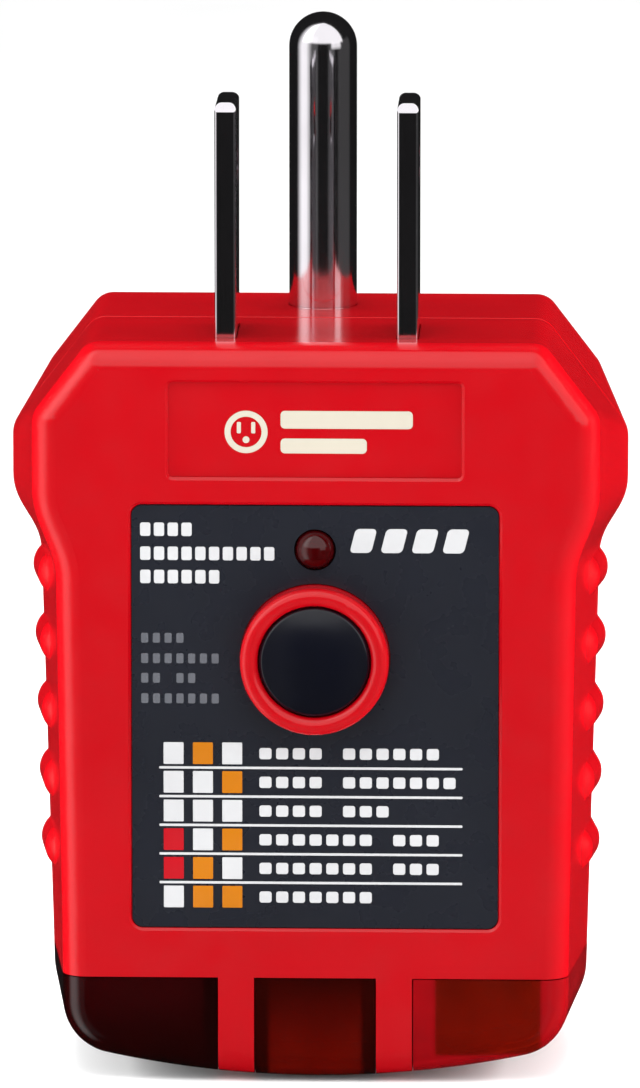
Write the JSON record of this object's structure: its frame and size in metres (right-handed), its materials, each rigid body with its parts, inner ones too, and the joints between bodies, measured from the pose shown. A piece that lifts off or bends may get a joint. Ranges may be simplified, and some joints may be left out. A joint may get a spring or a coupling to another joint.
{
  "type": "outlet tester plug",
  "caption": "Plug-in receptacle tester: red two-shell body with grip ribs, line blades and ground pin, coloured lamp lenses, chart panel and a test button that presses in.",
  "frame": {"origin": "centre of the plug face between the blades and the ground pin, on the parting plane of the two covers", "axes": "+Z out of the plug face along the prongs, -Y out of the label panel with the test button, +X to the right when the label is read with the prongs up"},
  "size_m": [0.0434, 0.0269, 0.0734],
  "materials": {
    "red_abs": "glossy moulded red ABS",
    "label_print": "satin dark slate printed overlay",
    "silver_label": "satin metallised polyester film",
    "black_cap": "semi-gloss moulded black plastic",
    "red_lens": "clear red polycarbonate",
    "amber_lens": "clear amber polycarbonate",
    "red_epoxy": "tinted red epoxy",
    "lamp_glass": "clear soft glass",
    "nickel": "polished nickel plating on brass",
    "tinned_wire": "bright tinned copper",
    "zinc_steel": "bright zinc plated steel",
    "spring_steel": "drawn spring wire",
    "fibreglass": "glass epoxy laminate with green mask",
    "carrier_nylon": "moulded black nylon",
    "baffle_dark": "moulded dark grey ABS",
    "plunger_white": "moulded white acetal",
    "black_phenolic": "black moulding",
    "resistor_tan": "lacquered resistor body",
    "resistor_blue": "flameproof blue-grey resistor body",
    "wire_black": "black PVC insulation",
    "wire_white": "white PVC insulation",
    "wire_green": "green PVC insulation"
  },
  "bodies": {
    "root": {"front_cover": "red_abs", "rear_cover": "red_abs", "label_plate": "label_print", "rear_label": "silver_label", "left_lens": "red_lens", "centre_lens": "amber_lens", "right_lens": "amber_lens", "light_baffle": "baffle_dark", "left_lamp": "lamp_glass", "centre_lamp": "lamp_glass", "right_lamp": "lamp_glass", "lamp_electrodes": "tinned_wire", "hot_blade": "nickel", "neutral_blade": "nickel", "ground_pin": "nickel", "prong_carrier": "carrier_nylon", "hot_wire": "wire_black", "neutral_wire": "wire_white", "ground_wire": "wire_green", "button_spring": "spring_steel", "switch_body": "black_phenolic", "switch_pins": "tinned_wire", "main_board": "fibreglass", "status_led": "red_epoxy", "led_leads": "tinned_wire", "cover_screws": "zinc_steel", "board_screws": "zinc_steel", "ballast_resistors": "resistor_tan", "diodes": "black_phenolic", "test_resistor": "resistor_blue", "component_leads": "tinned_wire"},
    "button": {"test_button": "black_cap", "switch_plunger": "plunger_white"}
  },
  "joints": [
    {"name": "button_press", "type": "slide", "parent": "root", "child": "button", "axis": [0, 1, 0], "range_m": [0, 0.0012], "stiffness_N_per_m": 900, "springref_m": -0.0012, "deforming": ["button_spring"]}
  ]
}
